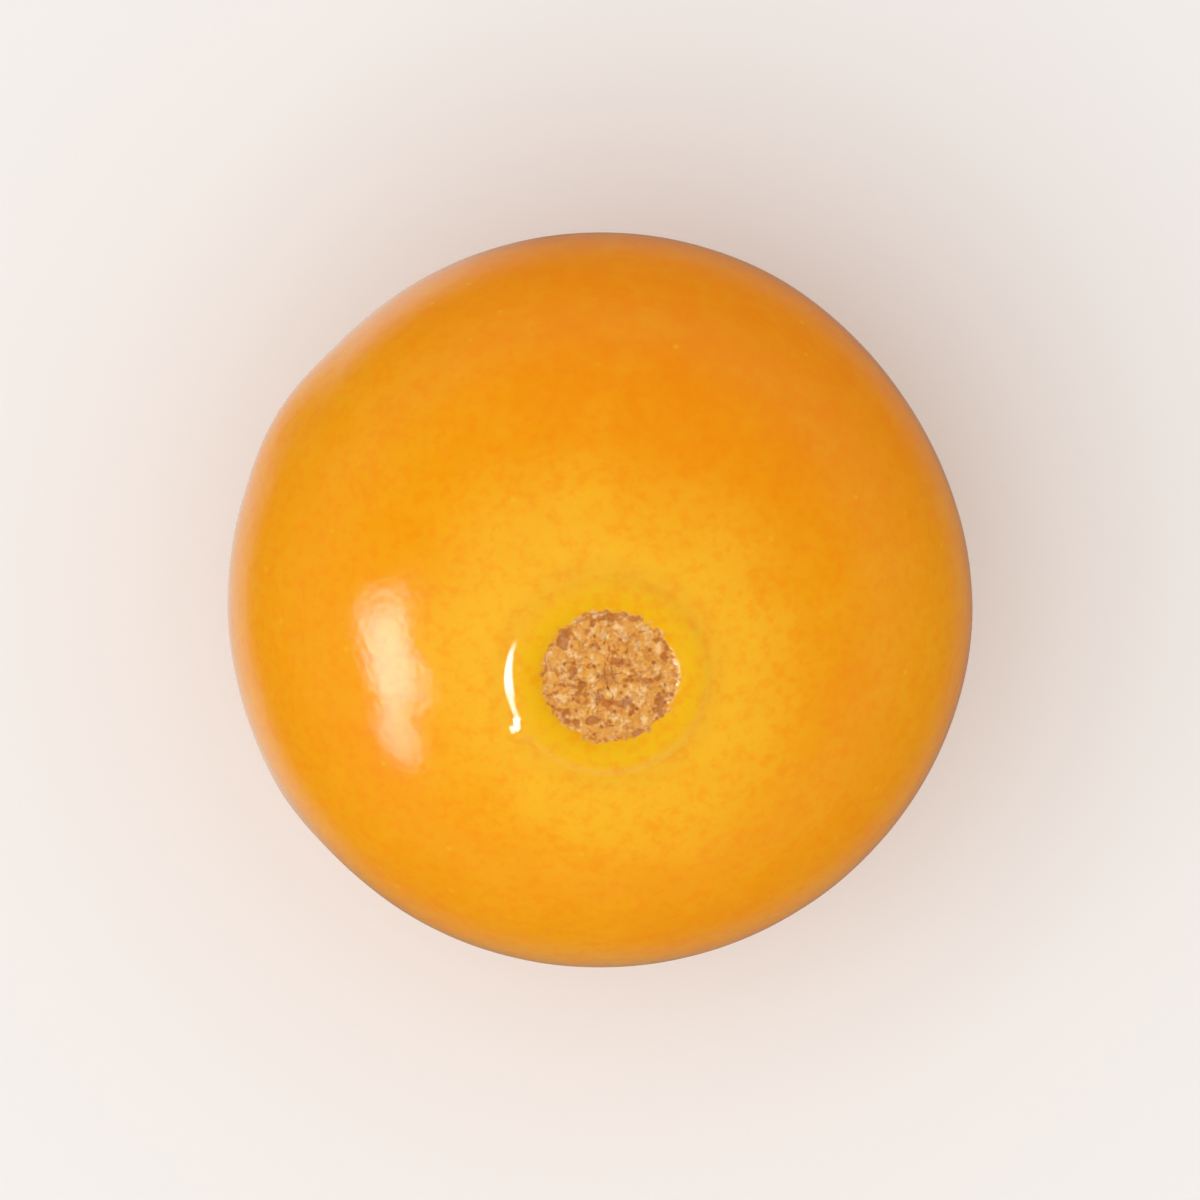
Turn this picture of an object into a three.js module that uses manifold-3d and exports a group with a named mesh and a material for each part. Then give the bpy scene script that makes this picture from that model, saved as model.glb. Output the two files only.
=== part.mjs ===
// A husked physalis berry (cape gooseberry), as picked out of its papery calyx and set down stem end up.
//
// The fruit is one solid. Its profile is turned about its own axis, from the stem scar to the style point: round
// the scar the skin sinks in a shallow basin and swells into a smooth collar, the corky scar lies sunk inside the
// collar with the ends of the torn vessels in a ring round its pith, and at the far pole the dried style leaves a
// small point in a dimple. The turned fruit is then pressed and swollen here and there, as its neighbours and its
// calyx shaped it. It leans a little and rests on a small flat spot under its weight.
//
// Millimetres, +Z up. The origin is on the surface that the berry rests on, under the middle of its bounding box.

import * as THREE from "three";
import { mergeVertices } from "three/addons/utils/BufferGeometryUtils.js";
import Module from "manifold-3d";

const wasm = await Module();
wasm.setup();

// ---- Driving dimensions ----

const WIDTH = 22.5; // across the cheeks
const THICKNESS = 22.2; // across them the other way
const STEM_HALF = 10.5; // from the middle of the fruit up to its stem end, before the basin sinks it
const STYLE_HALF = 10.95; // from the middle down to the style end

const BASIN_DEPTH = 0.34; // of the skin's sinking round the stem
const BASIN_RADIUS = 4.4;

const COLLAR_RADIUS = 2.65; // of the collar's crest
const COLLAR_HEIGHT = 0.15; // of the crest over the skin outside it
const COLLAR_BACK = 1.0; // radius of the collar's rounded back, outside the crest
const COLLAR_LIP = 0.7; // radius of its inner lip
const COLLAR_BLEND = 0.07; // how softly the back runs out into the skin

const SCAR_SINK = 0.3; // of the corky disc under the crest
const SCAR_BLEND = 0.03; // how softly the lip meets the disc
const VESSELS = 11; // torn vessel ends round the scar
const VESSEL_RING = 1.22; // radius of their ring
const VESSEL_SPREAD = 0.4; // radius of one vessel end at its foot
const VESSEL_HEIGHT = 0.15;
const VESSEL_STRAY = 0.1; // how unevenly they stand, as a share of their ring's radius
const PITH_RADIUS = 0.42; // the hollow at the middle of the scar
const PITH_DEPTH = 0.15;

const STYLE_DIMPLE_RADIUS = 1.1;
const STYLE_DIMPLE_DEPTH = 0.15;
const STYLE_POINT_RADIUS = 0.32;
const STYLE_POINT_HEIGHT = 0.2;

// Where the fruit is pressed (height below 0) or swollen: degrees round the axis and above the cheeks, and how far
// the change spreads.
const SHAPING = [
  { heading: 128, rise: 6, height: -0.12, spread: 6 },
  { heading: 142, rise: 2, height: 0.17, spread: 3.2 },
  { heading: -140, rise: -4, height: -0.11, spread: 6 },
  { heading: -154, rise: -2, height: 0.15, spread: 3.2 },
  { heading: 24, rise: -12, height: -0.24, spread: 9 },
  { heading: 78, rise: 38, height: 0.16, spread: 8 },
  { heading: -62, rise: -32, height: 0.14, spread: 8 },
  { heading: -18, rise: 46, height: -0.1, spread: 6 },
];

const LEAN = 13.5; // of the stem end from upright, towards -Y, in degrees
const TURN = 6; // of the leaning fruit about the upright
const REST_RADIUS = 2.05; // of the flat spot that the berry rests on

const MERIDIANS = 64; // facets round the axis
const SCAR_RINGS = 10; // rings of facets over the scar
const COLLAR_RINGS = 13; // from the scar's edge to the collar's foot
const CHEEK_RINGS = 34; // over the body of the fruit
const STYLE_RINGS = 6; // over the style's dimple

// ---- The profile, as a distance from the middle of the fruit ----

const radians = THREE.MathUtils.degToRad;
const bell = (x) => Math.exp(-x * x);

// The larger of two heights, with the corner between them rounded over the height given.
function softMax(a, b, rounding) {
  const overlap = Math.max(rounding - Math.abs(a - b), 0);
  return Math.max(a, b) + (overlap * overlap) / (4 * rounding);
}

// The plain fruit: Legendre terms make it a little flat, with broader shoulders at the stem end.
function plainRadius(polar) {
  const flatness = (STEM_HALF + STYLE_HALF - WIDTH) / 3;
  const mean = (WIDTH + flatness) / 2;
  const taper = (STEM_HALF - STYLE_HALF) / 2;
  const c = Math.cos(polar);
  return mean + (flatness * (3 * c * c - 1)) / 2 + (taper * (5 * c * c * c - 3 * c)) / 2;
}

// The stem end over the plain fruit: basin, collar, and the sunk disc of the scar with its pith's hollow.
function stemEnd(across) {
  const basin = (distance) => -BASIN_DEPTH * bell(distance / BASIN_RADIUS);
  const crest = basin(COLLAR_RADIUS) + COLLAR_HEIGHT;
  const fromCrest = (across - COLLAR_RADIUS) ** 2 / 2;
  const pith = PITH_DEPTH * bell(across / PITH_RADIUS);
  return across > COLLAR_RADIUS
    ? softMax(basin(across), crest - fromCrest / COLLAR_BACK, COLLAR_BLEND)
    : softMax(crest - SCAR_SINK, crest - fromCrest / COLLAR_LIP, SCAR_BLEND) - pith;
}

// The style end over the plain fruit: a dimple with the dried style's point in it.
function styleEnd(across) {
  const dimple = STYLE_DIMPLE_DEPTH * bell(across / STYLE_DIMPLE_RADIUS);
  return STYLE_POINT_HEIGHT * bell(across / STYLE_POINT_RADIUS) - dimple;
}

// ---- The surface ----

function outlineRadius(polar) {
  const plain = plainRadius(polar);
  const across = plain * Math.sin(polar);
  return plain + (polar < Math.PI / 2 ? stemEnd(across) : styleEnd(across));
}

// A corner of the turned fruit: three's spherical coordinates have Y up, so they are turned to Z up.
function turnedPoint(polar, round) {
  const { x, y, z } = new THREE.Vector3().setFromSphericalCoords(outlineRadius(polar), polar, round);
  return new THREE.Vector3(z, x, y);
}

// The presses and swellings of the skin, each along its own line from the fruit's middle.
const skinPulls = SHAPING.map(({ heading, rise, height, spread }) => {
  const polar = radians(90 - rise);
  const middle = turnedPoint(polar, radians(heading));
  return { middle, offset: middle.clone().setLength(Math.abs(height)).multiplyScalar(Math.sign(height)), spread };
});

// The torn vessel ends, which stand up from the scar in an uneven ring.
const vesselPulls = Array.from({ length: VESSELS }, (_, i) => {
  const turn = (2 * Math.PI * (i + 2 * VESSEL_STRAY * Math.sin(4 * i))) / VESSELS;
  const out = VESSEL_RING * (1 + VESSEL_STRAY * Math.sin(5 * i));
  return {
    middle: turnedPoint(Math.asin(out / STEM_HALF), turn),
    offset: new THREE.Vector3(0, 0, VESSEL_HEIGHT),
    spread: VESSEL_SPREAD,
  };
});

// Makes the turned fruit a little oval, then moves a point with every pull that reaches it.
function shape(point) {
  point.y *= THICKNESS / WIDTH;
  for (const { middle, offset, spread } of [...skinPulls, ...vesselPulls]) {
    const share = THREE.MathUtils.smoothstep(1 - point.distanceTo(middle) / spread, 0, 1);
    point.addScaledVector(offset, share);
  }
  return point;
}

// Polar angles of the rings between the two poles, closest together over the scar and the collar.
function ringAngles() {
  const stem = (across) => Math.asin(across / STEM_HALF);
  const scarEdge = stem(COLLAR_RADIUS - Math.sqrt(2 * COLLAR_LIP * SCAR_SINK));
  const collarFoot = stem(COLLAR_RADIUS + 1.4 * Math.sqrt(2 * COLLAR_BACK * COLLAR_HEIGHT));
  const styleEdge = Math.PI - Math.asin((1.5 * STYLE_DIMPLE_RADIUS) / STYLE_HALF);
  const spread = (from, to, count) => Array.from({ length: count }, (_, i) => from + ((to - from) * (i + 1)) / count);
  return [
    ...spread(0, scarEdge, SCAR_RINGS),
    ...spread(scarEdge, collarFoot, COLLAR_RINGS),
    ...spread(collarFoot, styleEdge, CHEEK_RINGS),
    ...spread(styleEdge, Math.PI, STYLE_RINGS).slice(0, -1),
  ];
}

// A closed skin of triangles: a fan at each pole and bands of quads between the rings.
function skin() {
  const rings = ringAngles();
  const points = [turnedPoint(0, 0)];
  for (const polar of rings) {
    for (let i = 0; i < MERIDIANS; i += 1) points.push(turnedPoint(polar, (2 * Math.PI * i) / MERIDIANS));
  }
  points.push(turnedPoint(Math.PI, 0));

  const at = (ring, i) => 1 + ring * MERIDIANS + (i % MERIDIANS);
  const last = rings.length - 1;
  const faces = [];
  for (let i = 0; i < MERIDIANS; i += 1) {
    faces.push(0, at(0, i), at(0, i + 1));
    for (let ring = 0; ring < last; ring += 1) {
      faces.push(at(ring, i), at(ring + 1, i), at(ring + 1, i + 1));
      faces.push(at(ring, i), at(ring + 1, i + 1), at(ring, i + 1));
    }
    faces.push(points.length - 1, at(last, i + 1), at(last, i));
  }
  return new THREE.BufferGeometry().setFromPoints(points.map(shape)).setIndex(faces);
}

// ---- Setting it down ----

function toSolid(geometry) {
  const bare = geometry.clone();
  bare.deleteAttribute("normal");
  bare.deleteAttribute("uv");
  const merged = mergeVertices(bare, 1e-4);
  return new wasm.Manifold(
    new wasm.Mesh({
      numProp: 3,
      vertProperties: merged.attributes.position.array,
      triVerts: new Uint32Array(merged.index.array),
    }),
  );
}

function toGeometry(solid) {
  const { vertProperties, triVerts } = solid.getMesh();
  const geometry = new THREE.BufferGeometry();
  geometry.setAttribute("position", new THREE.BufferAttribute(vertProperties, 3));
  geometry.setIndex(new THREE.BufferAttribute(triVerts, 1));
  geometry.computeVertexNormals();
  return geometry;
}

// Leans the fruit over, cuts the flat spot that it rests on, and puts that spot on the ground.
function setDown(geometry) {
  geometry.rotateX(radians(LEAN));
  geometry.rotateZ(radians(TURN));
  geometry.computeBoundingBox();

  const cheek = WIDTH / 2;
  const cut = cheek - Math.sqrt(cheek * cheek - REST_RADIUS * REST_RADIUS);
  const ground = new THREE.BoxGeometry(2 * WIDTH, 2 * WIDTH, WIDTH);
  ground.translate(0, 0, geometry.boundingBox.min.z + cut - WIDTH / 2);

  const rested = toGeometry(toSolid(geometry).subtract(toSolid(ground)));
  rested.computeBoundingBox();
  const { min, max } = rested.boundingBox;
  rested.translate(-(min.x + max.x) / 2, -(min.y + max.y) / 2, -min.z);
  return rested;
}

const fruit = new THREE.MeshStandardMaterial({ color: 0xf59a06, roughness: 0.35, metalness: 0 });

const berry = new THREE.Mesh(setDown(skin()), fruit);
berry.name = "berry";

const physalis = new THREE.Group();
physalis.add(berry);

export default physalis;
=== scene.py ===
"""A husked physalis berry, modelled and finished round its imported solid, on a pale table under soft light."""

import math

import bmesh
import bpy
from bpy.props import FloatProperty, FloatVectorProperty, IntProperty, PointerProperty
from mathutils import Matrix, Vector


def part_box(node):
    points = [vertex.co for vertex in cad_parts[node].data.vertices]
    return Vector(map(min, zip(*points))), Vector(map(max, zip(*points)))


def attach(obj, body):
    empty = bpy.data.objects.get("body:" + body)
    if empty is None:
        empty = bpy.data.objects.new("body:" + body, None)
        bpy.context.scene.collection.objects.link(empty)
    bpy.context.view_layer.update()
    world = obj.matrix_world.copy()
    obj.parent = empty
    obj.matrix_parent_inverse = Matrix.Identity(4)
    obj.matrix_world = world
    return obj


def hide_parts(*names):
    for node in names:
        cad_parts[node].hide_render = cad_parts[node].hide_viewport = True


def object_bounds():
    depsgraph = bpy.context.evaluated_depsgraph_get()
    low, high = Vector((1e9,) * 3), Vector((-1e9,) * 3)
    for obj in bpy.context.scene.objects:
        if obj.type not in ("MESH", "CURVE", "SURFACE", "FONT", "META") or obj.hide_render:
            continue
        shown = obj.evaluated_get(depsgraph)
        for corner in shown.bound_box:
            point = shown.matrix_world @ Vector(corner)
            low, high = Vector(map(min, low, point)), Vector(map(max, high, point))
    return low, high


bl_info = {
    "name": "Physalis berry",
    "version": (1, 0, 0),
    "blender": (4, 5, 0),
    "location": "View3D > Sidebar > Physalis",
    "description": "Models a husked physalis berry with its waxy skin, wet collar and corky stem scar",
    "category": "Object",
}

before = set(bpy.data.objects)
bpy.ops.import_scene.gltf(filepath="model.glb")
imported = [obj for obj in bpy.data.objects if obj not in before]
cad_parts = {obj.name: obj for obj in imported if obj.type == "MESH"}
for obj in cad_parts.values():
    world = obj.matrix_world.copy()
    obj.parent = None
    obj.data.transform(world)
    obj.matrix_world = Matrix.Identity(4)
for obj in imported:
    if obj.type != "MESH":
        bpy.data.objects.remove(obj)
SOLID_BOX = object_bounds()

MM = 0.001
VESSEL_STRAY = 0.1  # how unevenly the vessel ends stand, as a share of their ring's radius
SCAR_FADE = 0.12  # how far inside its edge the scar's grain has its full height, as a share of its radius
RINGS = (44, 46, 150, 28)  # of faces over the scar, the collar, the cheeks and the style's dimple

# Where the fruit is pressed (height below 0) or swollen: degrees round the axis and above the cheeks, then
# the height and how far the change spreads, in millimetres.
SHAPING = [
    (128, 6, -0.12, 6.0),
    (142, 2, 0.17, 3.2),
    (-140, -4, -0.11, 6.0),
    (-154, -2, 0.15, 3.2),
    (24, -12, -0.24, 9.0),
    (78, 38, 0.16, 8.0),
    (-62, -32, 0.14, 8.0),
    (-18, 46, -0.1, 6.0),
]

# Beads of dried sap on the collar: degrees round the axis, then the distance from it, the height and how
# far the bead spreads, in millimetres.
SAP_BEADS = [
    (207, 3.08, 0.12, 0.48),
    (168, 2.55, 0.03, 0.2),
    (135, 2.15, 0.03, 0.16),
    (24, 2.8, 0.05, 0.3),
    (296, 2.7, 0.04, 0.25),
]

SKIN_ROUGHNESS = 0.11  # of the skin where its wax is smoothest
SKIN_DULLING = 0.08  # how much rougher it is where it is dullest
FILM_ROUGHNESS = 0.14  # of the skin under the film of sap
CORK_ROUGHNESS = 0.85
SKIN_SETTINGS = {
    "IOR": 1.35,
    "Coat IOR": 1.5,  # of the sap
    "Coat Roughness": 0.06,
    "Subsurface Weight": 0.2,
    "Subsurface Radius": (1.0, 0.35, 0.08),
    "Subsurface Scale": 2.5 * MM,
}
STYLE_EDGE = 0.34  # radius of the dry cork on the style, in millimetres
OTHER_END = 100.0  # millimetres that are added to the distance from an end, on the other end's half

WHITE = (1.0, 0.99, 0.975, 1)  # of the walls
WALLS_GLOW = 0.79  # of the walls that light the berry
DIM_GLOW = 0.06  # of the walls that what is glossy mirrors
LEVEL_GLOW = 0.24  # how much more they have at the berry's level
LOW_LEFT = (-0.966, 0.259, 0)  # the heading of the pale surface low on the left

# The softboxes: name, heading and rise in degrees, distance and size in metres, glow, whether the light is
# mirrored in what is glossy or lights what it falls on, and the share of its size over which it fades towards
# each side.
SOFTBOXES = [
    ("window", 199.5, 28, 0.35, (0.24, 0.16), 15, True, 0.32),
    ("low_window", 218, 17, 0.35, (0.11, 0.12), 9.5, True, 0.4),
    ("top_softbox", 218, 66, 0.5, (0.6, 0.5), 1.07, False, 0),
]

CAMERA_DISTANCE = 0.45  # from the middle of the berry's height, in metres
BERRY_SHARE = 0.62  # of the picture's width
SENSOR_WIDTH = 36  # in millimetres


# ---- Settings ----


def length(name, description, default_mm):
    return FloatProperty(
        name=name, description=description, default=default_mm * MM, unit="LENGTH", precision=5
    )


def angle(name, description, default_degrees):
    return FloatProperty(
        name=name, description=description, default=math.radians(default_degrees), unit="ROTATION"
    )


def colour(name, description, default):
    return FloatVectorProperty(
        name=name, description=description, default=default, subtype="COLOR", size=3, min=0, max=1
    )


class PhysalisSizes(bpy.types.PropertyGroup):
    """The berry's shape."""

    width: length("Width", "Across the cheeks", 22.5)
    thickness: length("Thickness", "Across the cheeks the other way", 22.2)
    stem_half: length("Stem half", "From the fruit's middle up to its stem end, before the basin", 10.5)
    style_half: length("Style half", "From the fruit's middle down to its style end", 10.95)
    basin_depth: length("Basin depth", "How far the skin sinks round the stem", 0.34)
    basin_radius: length("Basin radius", "How far out it sinks", 4.4)
    collar_radius: length("Collar radius", "Of the collar's crest", 2.65)
    collar_height: length("Collar height", "Of the crest over the skin outside it", 0.15)
    collar_back: length("Collar back", "Radius of the collar's rounded back", 1.0)
    collar_lip: length("Collar lip", "Radius of its inner lip", 0.7)
    collar_blend: length("Collar blend", "How softly the back runs out into the skin", 0.07)
    scar_sink: length("Scar sink", "Of the corky disc under the crest", 0.3)
    scar_blend: length("Scar blend", "How softly the lip meets the disc", 0.03)
    vessels: IntProperty(name="Vessels", description="Torn vessel ends round the scar", default=11)
    vessel_ring: length("Vessel ring", "Radius of their ring", 1.22)
    vessel_spread: length("Vessel spread", "Radius of one vessel end at its foot", 0.4)
    vessel_height: length("Vessel height", "Of one vessel end", 0.15)
    pith_radius: length("Pith radius", "Of the hollow in the middle of the scar", 0.42)
    pith_depth: length("Pith depth", "Of that hollow", 0.15)
    dimple_radius: length("Dimple radius", "Of the style's dimple", 1.1)
    dimple_depth: length("Dimple depth", "Of the style's dimple", 0.15)
    point_radius: length("Point radius", "Of the dried style", 0.32)
    point_height: length("Point height", "Of the dried style", 0.2)
    lean: angle("Lean", "Of the stem end from upright, towards the viewer's side", 13.5)
    turn: angle("Turn", "Of the leaning fruit about the upright", 6)
    rest_radius: length("Rest radius", "Of the flat spot that it rests on", 2.05)
    meridians: IntProperty(name="Meridians", description="Faces round the axis", default=256)


class PhysalisColours(bpy.types.PropertyGroup):
    """The berry's colours."""

    ground: colour("Skin", "The ripe skin", (0.91, 0.345, 0.0005))
    # Deep skin also paints the shade towards the berry's far side.
    deep: colour("Deep skin", "Where the skin is ripest", (0.92, 0.235, 0.0003))
    # The shoulder is partly the skin's own paler tone and partly a painted reflection of the light above.
    pale: colour("Shoulder", "The paler skin round the stem", (0.94, 0.49, 0.02))
    collar: colour("Collar", "The wet collar round the scar", (0.90, 0.48, 0.003))
    cork: colour("Cork", "The stem scar", (0.78, 0.36, 0.065))
    # Dark cork also paints the shade in the gap at the scar's edge.
    cork_dark: colour("Dark cork", "Its pores and vessel ends", (0.40, 0.08, 0.008))
    cork_light: colour("Light cork", "Its dry flakes", (0.90, 0.58, 0.25))
    table: colour("Table", "The surface under the berry", (0.87, 0.86, 0.85))


# ---- Shape ----


def bell(x):
    return math.exp(-x * x)


def soft_max(a, b, rounding):
    """The larger of two heights, with the corner between them rounded."""
    overlap = max(rounding - abs(a - b), 0)
    return max(a, b) + overlap * overlap / (4 * rounding)


def plain_radius(sizes, polar):
    """The plain fruit's radius at an angle from its stem end."""
    flatness = (sizes.stem_half + sizes.style_half - sizes.width) / 3
    mean = (sizes.width + flatness) / 2
    taper = (sizes.stem_half - sizes.style_half) / 2
    c = math.cos(polar)
    return mean + flatness * (3 * c * c - 1) / 2 + taper * (5 * c**3 - 3 * c) / 2


def stem_end(sizes, across):
    """Basin, collar and the sunk disc of the scar, over the plain fruit."""

    def basin(distance):
        return -sizes.basin_depth * bell(distance / sizes.basin_radius)

    crest = basin(sizes.collar_radius) + sizes.collar_height
    from_crest = (across - sizes.collar_radius) ** 2 / 2
    pith = sizes.pith_depth * bell(across / sizes.pith_radius)
    if across > sizes.collar_radius:
        return soft_max(basin(across), crest - from_crest / sizes.collar_back, sizes.collar_blend)
    return soft_max(crest - sizes.scar_sink, crest - from_crest / sizes.collar_lip, sizes.scar_blend) - pith


def style_end(sizes, across):
    """The dimple and the dried style's point, over the plain fruit."""
    dimple = sizes.dimple_depth * bell(across / sizes.dimple_radius)
    return sizes.point_height * bell(across / sizes.point_radius) - dimple


def scar_radius(sizes):
    return sizes.collar_radius - math.sqrt(2 * sizes.collar_lip * sizes.scar_sink)


def profile(sizes):
    """The fruit's outline from its stem pole to its style pole, with its points closest on the finest relief.

    Its stretches end at the scar's edge, and a little outside the collar's foot and the style's dimple.
    """
    collar_foot = sizes.collar_radius + 1.4 * math.sqrt(2 * sizes.collar_back * sizes.collar_height)
    dimple_edge = 1.5 * sizes.dimple_radius
    stops = [
        0,
        math.asin(scar_radius(sizes) / sizes.stem_half),
        math.asin(collar_foot / sizes.stem_half),
        math.pi - math.asin(dimple_edge / sizes.style_half),
        math.pi,
    ]
    angles = [0]
    for start, end, count in zip(stops, stops[1:], RINGS):
        angles += [start + (end - start) * (i + 1) / count for i in range(count)]
    points = []
    for polar in angles:
        plain = plain_radius(sizes, polar)
        across = plain * math.sin(polar)
        end = stem_end if polar < math.pi / 2 else style_end
        out = plain + end(sizes, across)
        points.append(Vector((out * math.sin(polar), 0, out * math.cos(polar))))
    points[-1].x = 0
    return points


def deselect_all():
    for item in bpy.context.selected_objects:
        item.select_set(False)


def turn_profile(points, steps):
    """A closed body of revolution about Z: one corner is drawn along the profile, and the line is spun."""
    deselect_all()
    bpy.ops.mesh.primitive_plane_add(size=MM, location=points[0], enter_editmode=True)
    bpy.ops.mesh.select_all(action="SELECT")
    bpy.ops.mesh.merge(type="CENTER")
    for start, end in zip(points, points[1:]):
        bpy.ops.mesh.extrude_region_move(TRANSFORM_OT_translate={"value": end - start})
    bpy.ops.mesh.select_all(action="SELECT")
    bpy.ops.mesh.spin(steps=steps, angle=math.tau, center=points[0], axis=(0, 0, 1), use_auto_merge=False)
    bpy.ops.mesh.select_all(action="SELECT")
    bpy.ops.mesh.remove_doubles(threshold=MM / 5000)
    bpy.ops.mesh.normals_make_consistent(inside=False)
    bpy.ops.object.mode_set(mode="OBJECT")
    turned = bpy.context.object
    bpy.ops.object.transform_apply(location=True, rotation=True, scale=True)
    return turned


def pull(fruit, middle, offset, spread):
    """Moves the corner nearest to middle by offset, and what lies within spread by less and less.

    The fruit is in edit mode.
    """
    shape = bmesh.from_edit_mesh(fruit.data)
    for corner in shape.verts:
        corner.select = False
    nearest = min(shape.verts, key=lambda corner: (corner.co - middle).length_squared)
    nearest.select = True
    shape.select_flush_mode()
    bmesh.update_edit_mesh(fruit.data)
    bpy.ops.transform.translate(
        value=offset,
        use_proportional_edit=True,
        proportional_edit_falloff="SMOOTH",
        proportional_size=spread,
    )


def press_and_swell(fruit, sizes):
    """Makes the turned fruit a little oval, then presses and swells it as its neighbours and calyx did."""
    bpy.ops.object.mode_set(mode="EDIT")
    bpy.ops.mesh.select_all(action="SELECT")
    bpy.ops.transform.resize(value=(1, sizes.thickness / sizes.width, 1), center_override=(0, 0, 0))
    for heading, rise, height, spread in SHAPING:
        heading, rise = math.radians(heading), math.radians(rise)
        outward = Vector((math.cos(heading), math.sin(heading), math.tan(rise))).normalized()
        middle = outward * plain_radius(sizes, math.pi / 2 - rise)
        pull(fruit, middle, outward * height * MM, spread * MM)
    bpy.ops.object.mode_set(mode="OBJECT")


def raise_vessels(fruit, sizes):
    """Stands the torn ends of the vessels in an uneven ring on the scar."""
    floor = max(corner.co.z for corner in fruit.data.vertices if corner.co.xy.length < sizes.vessel_ring)
    bpy.ops.object.mode_set(mode="EDIT")
    for i in range(sizes.vessels):
        turn = math.tau * (i + VESSEL_STRAY * 2 * math.sin(4 * i)) / sizes.vessels
        out = sizes.vessel_ring * (1 + VESSEL_STRAY * math.sin(5 * i))
        middle = Vector((out * math.cos(turn), out * math.sin(turn), floor))
        pull(fruit, middle, Vector((0, 0, sizes.vessel_height)), sizes.vessel_spread)
    bpy.ops.object.mode_set(mode="OBJECT")


def bead_sap(fruit, sizes):
    """Leaves a few small beads of sap on the collar."""
    bpy.ops.object.mode_set(mode="EDIT")
    for heading, out, height, spread in SAP_BEADS:
        heading = math.radians(heading)
        outward = Vector((math.cos(heading), math.sin(heading), 0)) * out * MM
        outward.z = math.sqrt(sizes.stem_half**2 - (out * MM) ** 2)
        pull(fruit, outward, outward.normalized() * height * MM, spread * MM)
    bpy.ops.object.mode_set(mode="OBJECT")


def displace(fruit, name, basis, size, depth, amount, group="", direction="NORMAL", middle=0.5):
    """Raises a noise of that grain size over the fruit, or over one vertex group of it, and applies it."""
    noise = bpy.data.textures.new(name, "CLOUDS")
    noise.noise_basis = basis
    noise.noise_scale = size * MM
    noise.noise_depth = depth
    step = fruit.modifiers.new(name, "DISPLACE")
    step.texture = noise
    step.texture_coords = "LOCAL"
    step.direction = direction
    step.strength = amount * MM
    step.mid_level = middle
    step.vertex_group = group
    bpy.ops.object.modifier_apply(modifier=name)


def roughen(fruit, sizes):
    """Gives the skin its slight unevenness, and the scar its corky grain."""
    scar = fruit.vertex_groups.new(name="scar")
    edge = scar_radius(sizes)
    for corner in fruit.data.vertices:
        across = corner.co.xy.length
        if corner.co.z > 0 and across < edge:
            scar.add([corner.index], min((edge - across) / (SCAR_FADE * edge), 1), "REPLACE")
    displace(fruit, "uneven_skin", "ORIGINAL_PERLIN", 3.5, 2, 0.05)
    displace(fruit, "cork_lumps", "ORIGINAL_PERLIN", 0.45, 1, 0.16, "scar", "Z")
    displace(fruit, "cork_cracks", "VORONOI_CRACKLE", 0.32, 0, 0.07, "scar", "Z", 1.0)
    displace(fruit, "cork_grain", "ORIGINAL_PERLIN", 0.11, 2, 0.06, "scar", "Z")


def set_down(fruit, sizes):
    """Leans the fruit, cuts its resting spot, and fits it in the box of its solid.

    Returns where that moved the fruit's middle.
    """
    bpy.ops.object.mode_set(mode="EDIT")
    bpy.ops.mesh.select_all(action="SELECT")
    bpy.ops.transform.rotate(value=-sizes.lean, orient_axis="X", center_override=(0, 0, 0))
    bpy.ops.transform.rotate(value=-sizes.turn, orient_axis="Z", center_override=(0, 0, 0))
    bpy.ops.object.mode_set(mode="OBJECT")
    low, high = extent(fruit)
    cheek = sizes.width / 2
    cut = cheek - math.sqrt(cheek**2 - sizes.rest_radius**2)
    bpy.ops.object.mode_set(mode="EDIT")
    bpy.ops.mesh.select_all(action="SELECT")
    bpy.ops.mesh.bisect(
        plane_co=(0, 0, low.z + cut),
        plane_no=(0, 0, 1),
        use_fill=True,
        clear_inner=True,
        threshold=MM / 1e5,
    )
    bpy.ops.object.mode_set(mode="OBJECT")
    low, high = extent(fruit)
    solid_low, solid_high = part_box("berry")
    shift = (solid_low + solid_high - low - high) / 2
    shift.z = solid_low.z - low.z
    fit = [(solid_high - solid_low)[axis] / (high - low)[axis] for axis in range(3)]
    bpy.ops.object.mode_set(mode="EDIT")
    bpy.ops.mesh.select_all(action="SELECT")
    bpy.ops.transform.translate(value=shift)
    bpy.ops.transform.resize(value=fit, center_override=((solid_low + solid_high) / 2) * Vector((1, 1, 0)))
    bpy.ops.object.mode_set(mode="OBJECT")
    return shift


def extent(item):
    """The lowest and the highest corner of an object's mesh."""
    corners = [corner.co for corner in item.data.vertices]
    return tuple(Vector([end(corner[axis] for corner in corners) for axis in range(3)]) for end in (min, max))


# ---- Finish ----


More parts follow.
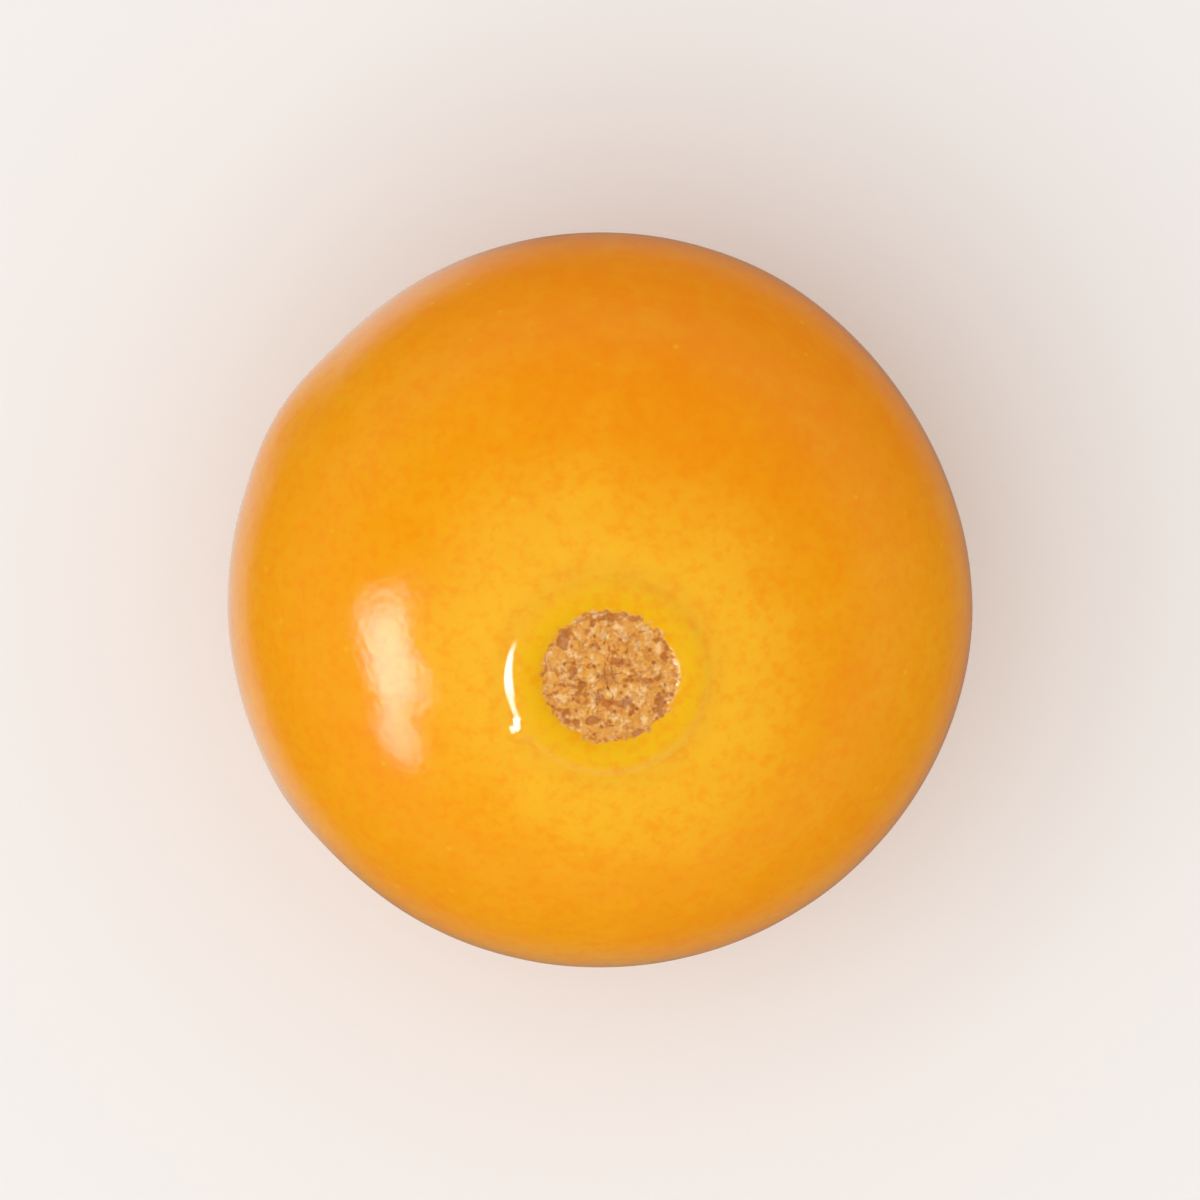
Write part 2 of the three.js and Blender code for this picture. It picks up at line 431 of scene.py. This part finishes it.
class Graph:
    """Adds nodes to a material or a node group, and hands back what they put out."""

    def __init__(self, tree):
        self.tree = tree
        self.count = 0

    def node(self, kind, inputs=None, **settings):
        made = self.tree.nodes.new(kind)
        made.location = (220 * (self.count // 4), -260 * (self.count % 4))
        self.count += 1
        for name, value in settings.items():
            setattr(made, name, value)
        for key, value in (inputs or {}).items():
            if isinstance(value, bpy.types.NodeSocket):
                self.tree.links.new(value, made.inputs[key])
            else:
                made.inputs[key].default_value = value
        return made

    def math(self, operation, a, b=0.0, c=0.0):
        return self.node("ShaderNodeMath", {0: a, 1: b, 2: c}, operation=operation).outputs[0]

    def vector(self, operation, a, b=(0, 0, 0)):
        made = self.node("ShaderNodeVectorMath", {0: a, 1: b}, operation=operation)
        return made.outputs["Value" if operation in {"LENGTH", "DOT_PRODUCT"} else "Vector"]

    def rise(self, value, start, end, low=0.0, high=1.0):
        """From low to high as value goes from start to end, smoothly."""
        places = {"Value": value, "From Min": start, "From Max": end, "To Min": low, "To Max": high}
        return self.node("ShaderNodeMapRange", places, interpolation_type="SMOOTHSTEP").outputs[0]

    def band(self, value, start, end):
        """1 in the middle between start and end, falling smoothly to 0 at both."""
        middle = (start + end) / 2
        up = self.rise(value, start, middle)
        return self.math("SUBTRACT", up, self.rise(value, middle, end))

    def centred(self, value, spread):
        """A value between 0 and 1 as one that strays by half the spread to either side of 0."""
        return self.math("MULTIPLY_ADD", value, spread, -spread / 2)

    def noise(self, place, scale, detail, roughness=0.5):
        settings = {"Vector": place, "Scale": scale, "Detail": detail, "Roughness": roughness}
        return self.node("ShaderNodeTexNoise", settings).outputs["Fac"]

    def cells(self, place, scale):
        """How far it is to the middle of the nearest cell."""
        return self.node("ShaderNodeTexVoronoi", {"Vector": place, "Scale": scale}).outputs["Distance"]

    def mix(self, share, a, b):
        """Colour a, going over to colour b by share."""
        return self.node("ShaderNodeMix", {0: share, 6: a, 7: b}, data_type="RGBA").outputs[2]

    def blend(self, share, a, b):
        """Value a, going over to value b by share."""
        return self.node("ShaderNodeMix", {0: share, 2: a, 3: b}, data_type="FLOAT").outputs[0]


KINDS = {"colour": "NodeSocketColor", "value": "NodeSocketFloat", "place": "NodeSocketVector"}


def new_group(name, shades, outputs):
    """A node group that takes a place, its distance from the stem's axis and some shades.

    Returns its graph, what the group is given and the sockets that take its results.
    """
    tree = bpy.data.node_groups.new(name, "ShaderNodeTree")
    inputs = {"Place": "place", "Across": "value"} | dict.fromkeys(shades, "colour")
    for label, kind in inputs.items():
        tree.interface.new_socket(name=label, in_out="INPUT", socket_type=KINDS[kind])
    for label, kind in outputs.items():
        tree.interface.new_socket(name=label, in_out="OUTPUT", socket_type=KINDS[kind])
    graph = Graph(tree)
    return graph, graph.node("NodeGroupInput").outputs, graph.node("NodeGroupOutput").inputs


def rgba(shade):
    return (*shade, 1.0)


def set_up(shader, settings):
    """Sets what is the same all over a surface on the shader's own sockets."""
    for name, value in settings.items():
        shader.inputs[name].default_value = value


def waxy_skin_group():
    """The ripe skin: clouded, speckled, faintly veined, with painted shade on its far side, a paler shoulder
    that is partly a painted reflection, and yellow on the collar.
    """
    shades = ("Skin", "Deep skin", "Shoulder", "Collar")
    graph, given, result = new_group("Waxy skin", shades, {"Color": "colour", "Relief": "value"})
    place, across = given["Place"], given["Across"]

    # Ripest in a few clouds, and deeper orange towards the far side as painted shade, with the paler flesh
    # showing through.
    painted_shade_side = graph.rise(graph.vector("DOT_PRODUCT", place, (0.45, 0.9, 0)), 3.0, 10.5)
    clouds = graph.rise(graph.noise(place, 0.13, 1), 0.45, 0.8)
    ripeness_and_shade = graph.math("MAXIMUM", graph.math("MULTIPLY", clouds, 0.7), painted_shade_side)
    flesh = graph.rise(graph.noise(place, 0.9, 2, 0.6), 0.3, 0.75)
    skin = graph.mix(graph.math("MULTIPLY", ripeness_and_shade, 0.65), given["Skin"], given["Deep skin"])
    skin = graph.mix(graph.math("MULTIPLY", flesh, 0.16), skin, given["Shoulder"])

    # Faint veins that run from the stem end to the style.
    split = graph.node("ShaderNodeSeparateXYZ", {0: place}).outputs
    heading = graph.math("ARCTAN2", split["Y"], split["X"])
    bend = graph.math("MULTIPLY", graph.noise(place, 0.16, 1), 5.0)
    line = graph.math("ABSOLUTE", graph.math("SINE", graph.math("MULTIPLY_ADD", heading, 7.0, bend)))
    veins = graph.math("MULTIPLY", graph.rise(line, 0.3, 0.0), graph.rise(across, 3.0, 5.5))
    skin = graph.mix(graph.math("MULTIPLY", veins, 0.07), skin, given["Shoulder"])

    # The paler shoulder, partly the skin's own tone and partly a painted reflection of the light above, has a
    # wandering edge, and the collar a ragged one.
    wander = graph.centred(graph.noise(place, 0.4, 2, 0.55), 3.0)
    shoulder_and_painted_reflection = graph.rise(graph.math("ADD", across, wander), 7.2, 3.6)
    skin = graph.mix(graph.math("MULTIPLY", shoulder_and_painted_reflection, 0.9), skin, given["Shoulder"])
    spots = graph.noise(place, 2.6, 2, 0.65)
    collar = graph.rise(graph.math("ADD", across, graph.centred(spots, 0.5)), 3.05, 2.4)
    skin = graph.mix(collar, skin, given["Collar"])

    # Fine deep speckles, and a few round pale flecks.
    speckle = graph.rise(spots, 0.42, 0.7)
    skin = graph.mix(graph.math("MULTIPLY", speckle, 0.34), skin, given["Deep skin"])
    flecks = graph.rise(graph.cells(place, 0.8), 0.1, 0.04)
    skin = graph.mix(graph.math("MULTIPLY", flecks, 0.5), skin, given["Shoulder"])

    # Low waves in the wax, with finer ones on them, in millimetres.
    waves = graph.math("MULTIPLY", graph.noise(place, 1.2, 0), 0.01)
    relief = graph.math("MULTIPLY_ADD", graph.noise(place, 4.2, 0), 0.005, waves)
    graph.tree.links.new(skin, result["Color"])
    graph.tree.links.new(relief, result["Relief"])
    return graph.tree


def cork_group():
    """The dry scar: tan cork with pale flakes, red-brown pores, and a ring of vessel ends round its pith."""
    shades = ("Cork", "Dark cork", "Light cork")
    graph, given, result = new_group("Cork", shades, {"Color": "colour"})
    place, across = given["Place"], given["Across"]

    flakes = graph.rise(graph.noise(place, 3.0, 2, 0.7), 0.46, 0.68)
    cork = graph.mix(flakes, given["Cork"], given["Light cork"])

    # What is dark: the pores, the ring of vessel ends, the clefts, the pith, and painted shade in the gap at
    # the scar's edge under the collar's lip.
    grain = graph.noise(place, 9.0, 0)
    pores = graph.rise(graph.cells(place, 2.9), 0.3, 0.1)
    vessels = graph.math("MULTIPLY", graph.band(across, 0.7, 1.7), graph.rise(grain, 0.42, 0.6))
    clefts = graph.rise(graph.noise(place, 1.9, 2, 0.7), 0.5, 0.62)
    # Painted shade in the gap at the scar's edge, broken up by the grain.
    edge = graph.math("MULTIPLY", graph.rise(across, 1.7, 1.95), graph.rise(grain, 0.56, 0.44))
    pith = graph.rise(across, 0.4, 0.15)
    dark = pores
    for mark, depth in ((vessels, 0.4), (clefts, 0.85), (graph.math("MAXIMUM", edge, pith), 0.6)):
        dark = graph.math("MAXIMUM", dark, graph.math("MULTIPLY", mark, depth))
    cork = graph.mix(graph.math("MULTIPLY", dark, 0.8), cork, given["Dark cork"])

    graph.tree.links.new(cork, result["Color"])
    return graph.tree


def berry_skin(sizes, colours, middle):
    """The berry's one finish: waxy skin, a film of its own sap on the collar, and dry cork on both ends."""
    material = bpy.data.materials.new("berry_skin")
    material.use_nodes = True
    graph = Graph(material.node_tree)
    shader = material.node_tree.nodes["Principled BSDF"]

    # Places are in millimetres in the upright fruit's own frame, with Z up its axis from its middle.
    coordinates = graph.node("ShaderNodeTexCoord").outputs["Object"]
    own = {"Location": middle, "Rotation": (sizes.lean, 0, sizes.turn), "Scale": (MM, MM, MM)}
    place = graph.node("ShaderNodeMapping", {"Vector": coordinates, **own}, vector_type="TEXTURE").outputs[0]
    across = graph.vector("LENGTH", graph.vector("MULTIPLY", place, (1, 1, 0)))
    height = graph.node("ShaderNodeSeparateXYZ", {0: place}).outputs["Z"]
    far = graph.math("MULTIPLY", graph.math("LESS_THAN", height, 0.0), OTHER_END)
    from_stem = graph.math("ADD", across, far)
    from_style = graph.math("ADD", across, graph.math("SUBTRACT", OTHER_END, far))

    skin_inputs = {
        "Place": place,
        "Across": from_stem,
        "Skin": rgba(colours.ground),
        "Deep skin": rgba(colours.deep),
        "Shoulder": rgba(colours.pale),
        "Collar": rgba(colours.collar),
    }
    cork_inputs = {
        "Place": place,
        "Across": from_stem,
        "Cork": rgba(colours.cork),
        "Dark cork": rgba(colours.cork_dark),
        "Light cork": rgba(colours.cork_light),
    }
    skin = graph.node("ShaderNodeGroup", skin_inputs, node_tree=waxy_skin_group())
    cork = graph.node("ShaderNodeGroup", cork_inputs, node_tree=cork_group())

    # The cork has a ragged edge, and stops the film of sap.
    crumbs = graph.centred(graph.noise(place, 4.6, 1), 0.4)
    ragged = graph.math("ADD", graph.centred(graph.noise(place, 2.2, 1), 0.4), crumbs)
    scar_edge = scar_radius(sizes) / MM
    scar = graph.rise(graph.math("ADD", from_stem, ragged), scar_edge + 0.06, scar_edge - 0.06)
    style = graph.rise(graph.math("ADD", from_style, ragged), STYLE_EDGE + 0.08, STYLE_EDGE - 0.08)
    dry = graph.math("MAXIMUM", scar, style)
    mottle = graph.noise(place, 0.8, 1)
    film = graph.rise(graph.math("MULTIPLY_ADD", mottle, 0.5, from_stem), 4.0, 3.5)
    wet = graph.math("SUBTRACT", film, dry)

    color = graph.mix(dry, skin.outputs["Color"], cork.outputs["Color"])
    waxy = graph.math("MULTIPLY_ADD", mottle, SKIN_DULLING, SKIN_ROUGHNESS)
    roughness = graph.blend(dry, graph.blend(film, waxy, FILM_ROUGHNESS), CORK_ROUGHNESS)
    bump = graph.node("ShaderNodeBump", {"Strength": 1.0, "Distance": MM, "Height": skin.outputs["Relief"]})

    links = graph.tree.links
    links.new(color, shader.inputs["Base Color"])
    links.new(roughness, shader.inputs["Roughness"])
    links.new(wet, shader.inputs["Coat Weight"])
    links.new(bump.outputs["Normal"], shader.inputs["Normal"])
    set_up(shader, SKIN_SETTINGS)
    return material


def pale_table(colours):
    """A matt pale surface."""
    material = bpy.data.materials.new("pale_table")
    material.use_nodes = True
    shader = material.node_tree.nodes["Principled BSDF"]
    set_up(shader, {"Base Color": rgba(colours.table), "Roughness": 0.9, "Specular IOR Level": 0.0})
    return material


def pale_studio():
    """A studio with pale walls, which light the berry evenly from all round.

    What is glossy mirrors a darker room instead: dim walls, paler at the berry's level, and a pale surface
    low on the left, which shows in the fruit's rim.
    """
    world = bpy.data.worlds.new("pale_studio")
    world.use_nodes = True
    graph = Graph(world.node_tree)
    towards = graph.node("ShaderNodeTexCoord").outputs["Generated"]
    height = graph.node("ShaderNodeSeparateXYZ", {0: towards}).outputs["Z"]
    level = graph.math("MULTIPLY_ADD", graph.band(height, -0.45, 0.45), LEVEL_GLOW, DIM_GLOW)
    sideways = graph.vector("NORMALIZE", graph.vector("MULTIPLY", towards, (1, 1, 0)))
    left = graph.rise(graph.vector("DOT_PRODUCT", sideways, LOW_LEFT), 0.35, 0.85, 0.14, 0.68)
    room = graph.math("MULTIPLY_ADD", graph.rise(height, -0.62, -0.86), left, level)
    walls = world.node_tree.nodes["Background"]
    walls.inputs["Color"].default_value = WHITE
    walls.inputs["Strength"].default_value = WALLS_GLOW
    mirrored = graph.node("ShaderNodeBackground", {"Color": WHITE, "Strength": room})
    glossy = graph.node("ShaderNodeLightPath").outputs["Is Glossy Ray"]
    both = graph.node("ShaderNodeMixShader", {0: glossy, 1: walls.outputs[0], 2: mirrored.outputs[0]})
    world.node_tree.links.new(both.outputs[0], world.node_tree.nodes["World Output"].inputs["Surface"])
    return world


# ---- Operators ----


class PHYSALIS_OT_berry(bpy.types.Operator):
    """Models the berry in one piece, in place of its solid, and gives it its finish"""

    bl_idname = "physalis.berry"
    bl_label = "Berry"

    def execute(self, context):
        sizes, colours = context.scene.physalis_sizes, context.scene.physalis_colours
        fruit = turn_profile(profile(sizes), sizes.meridians)
        fruit.name = fruit.data.name = "berry_fruit"
        press_and_swell(fruit, sizes)
        raise_vessels(fruit, sizes)
        bead_sap(fruit, sizes)
        roughen(fruit, sizes)
        middle = set_down(fruit, sizes)
        bpy.ops.object.shade_smooth()
        fruit.data.materials.append(berry_skin(sizes, colours, middle))
        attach(fruit, "root")
        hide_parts("berry")
        return {"FINISHED"}


def fade_edges(light, share):
    """Lets the light of a pane fade over that share of its size towards each of its sides."""
    light.use_nodes = True
    graph = Graph(light.node_tree)
    place = graph.node("ShaderNodeNewGeometry").outputs["Parametric"]
    across = graph.node("ShaderNodeSeparateXYZ", {0: place}).outputs
    fades = []
    for axis in ("X", "Y"):
        from_middle = graph.math("ABSOLUTE", graph.math("SUBTRACT", across[axis], 0.5))
        fades.append(graph.rise(from_middle, 0.5, 0.5 - share))
    emission = light.node_tree.nodes["Emission"]
    light.node_tree.links.new(graph.math("MULTIPLY", *fades), emission.inputs["Strength"])


def add_softbox(name, heading, rise, distance, size, glow, mirrored, fade):
    """A rectangular light of that radiance, facing the berry from a heading and a rise in degrees.

    It is either mirrored in what is glossy, or lights what it falls on.
    """
    heading, rise = math.radians(heading), math.radians(rise)
    outward = Vector((math.cos(heading) * math.cos(rise), math.sin(heading) * math.cos(rise), math.sin(rise)))
    light = bpy.data.lights.new(name, "AREA")
    light.shape = "RECTANGLE"
    light.size, light.size_y = size
    light.energy = glow * math.pi * size[0] * size[1]
    if fade:
        fade_edges(light, fade)
    lamp = bpy.data.objects.new(name, light)
    lamp.visible_glossy = mirrored
    lamp.visible_diffuse = not mirrored
    aim = Vector((0, 0, (SOLID_BOX[0][2] + SOLID_BOX[1][2]) / 2))
    lamp.location = aim + outward * distance
    lamp.rotation_euler = outward.to_track_quat("Z", "Y").to_euler()
    bpy.context.scene.collection.objects.link(lamp)


class PHYSALIS_OT_stage(bpy.types.Operator):
    """Sets the pale table, the soft studio light and the camera that looks straight down"""

    bl_idname = "physalis.stage"
    bl_label = "Table, light and camera"

    def execute(self, context):
        scene = context.scene
        deselect_all()
        bpy.ops.mesh.primitive_plane_add(size=2.0, location=(0, 0, 0))
        table = context.object
        table.name = table.data.name = "pale_table"
        table.data.materials.append(pale_table(scene.physalis_colours))
        table.visible_glossy = False

        for softbox in SOFTBOXES:
            add_softbox(*softbox)
        scene.world = pale_studio()
        scene.view_settings.view_transform = "Standard"

        low, high = (Vector(corner) for corner in SOLID_BOX)
        view_width = (high.x - low.x) / BERRY_SHARE
        camera = bpy.data.objects.new("camera", bpy.data.cameras.new("camera"))
        camera.location = (0, 0, high.z / 2 + CAMERA_DISTANCE)
        camera.data.sensor_width = SENSOR_WIDTH
        camera.data.lens = SENSOR_WIDTH * CAMERA_DISTANCE / view_width
        camera.data.clip_start = 0.01
        scene.collection.objects.link(camera)
        scene.camera = camera
        return {"FINISHED"}


class PHYSALIS_PT_panel(bpy.types.Panel):
    """The berry's operators, sizes and colours"""

    bl_idname = "PHYSALIS_PT_panel"
    bl_label = "Physalis berry"
    bl_space_type = "VIEW_3D"
    bl_region_type = "UI"
    bl_category = "Physalis"

    def draw(self, context):
        layout = self.layout
        for operator in OPERATORS:
            layout.operator(operator.bl_idname)
        for settings in (context.scene.physalis_sizes, context.scene.physalis_colours):
            column = layout.box().column()
            for name in settings.__annotations__:
                column.prop(settings, name)


OPERATORS = (PHYSALIS_OT_berry, PHYSALIS_OT_stage)
CLASSES = (PhysalisSizes, PhysalisColours, *OPERATORS, PHYSALIS_PT_panel)


def register():
    for each in CLASSES:
        bpy.utils.register_class(each)
    bpy.types.Scene.physalis_sizes = PointerProperty(type=PhysalisSizes)
    bpy.types.Scene.physalis_colours = PointerProperty(type=PhysalisColours)


def unregister():
    del bpy.types.Scene.physalis_colours
    del bpy.types.Scene.physalis_sizes
    for each in reversed(CLASSES):
        bpy.utils.unregister_class(each)


def main():
    register()
    bpy.ops.physalis.berry()
    bpy.ops.physalis.stage()


if __name__ == "__main__":
    main()
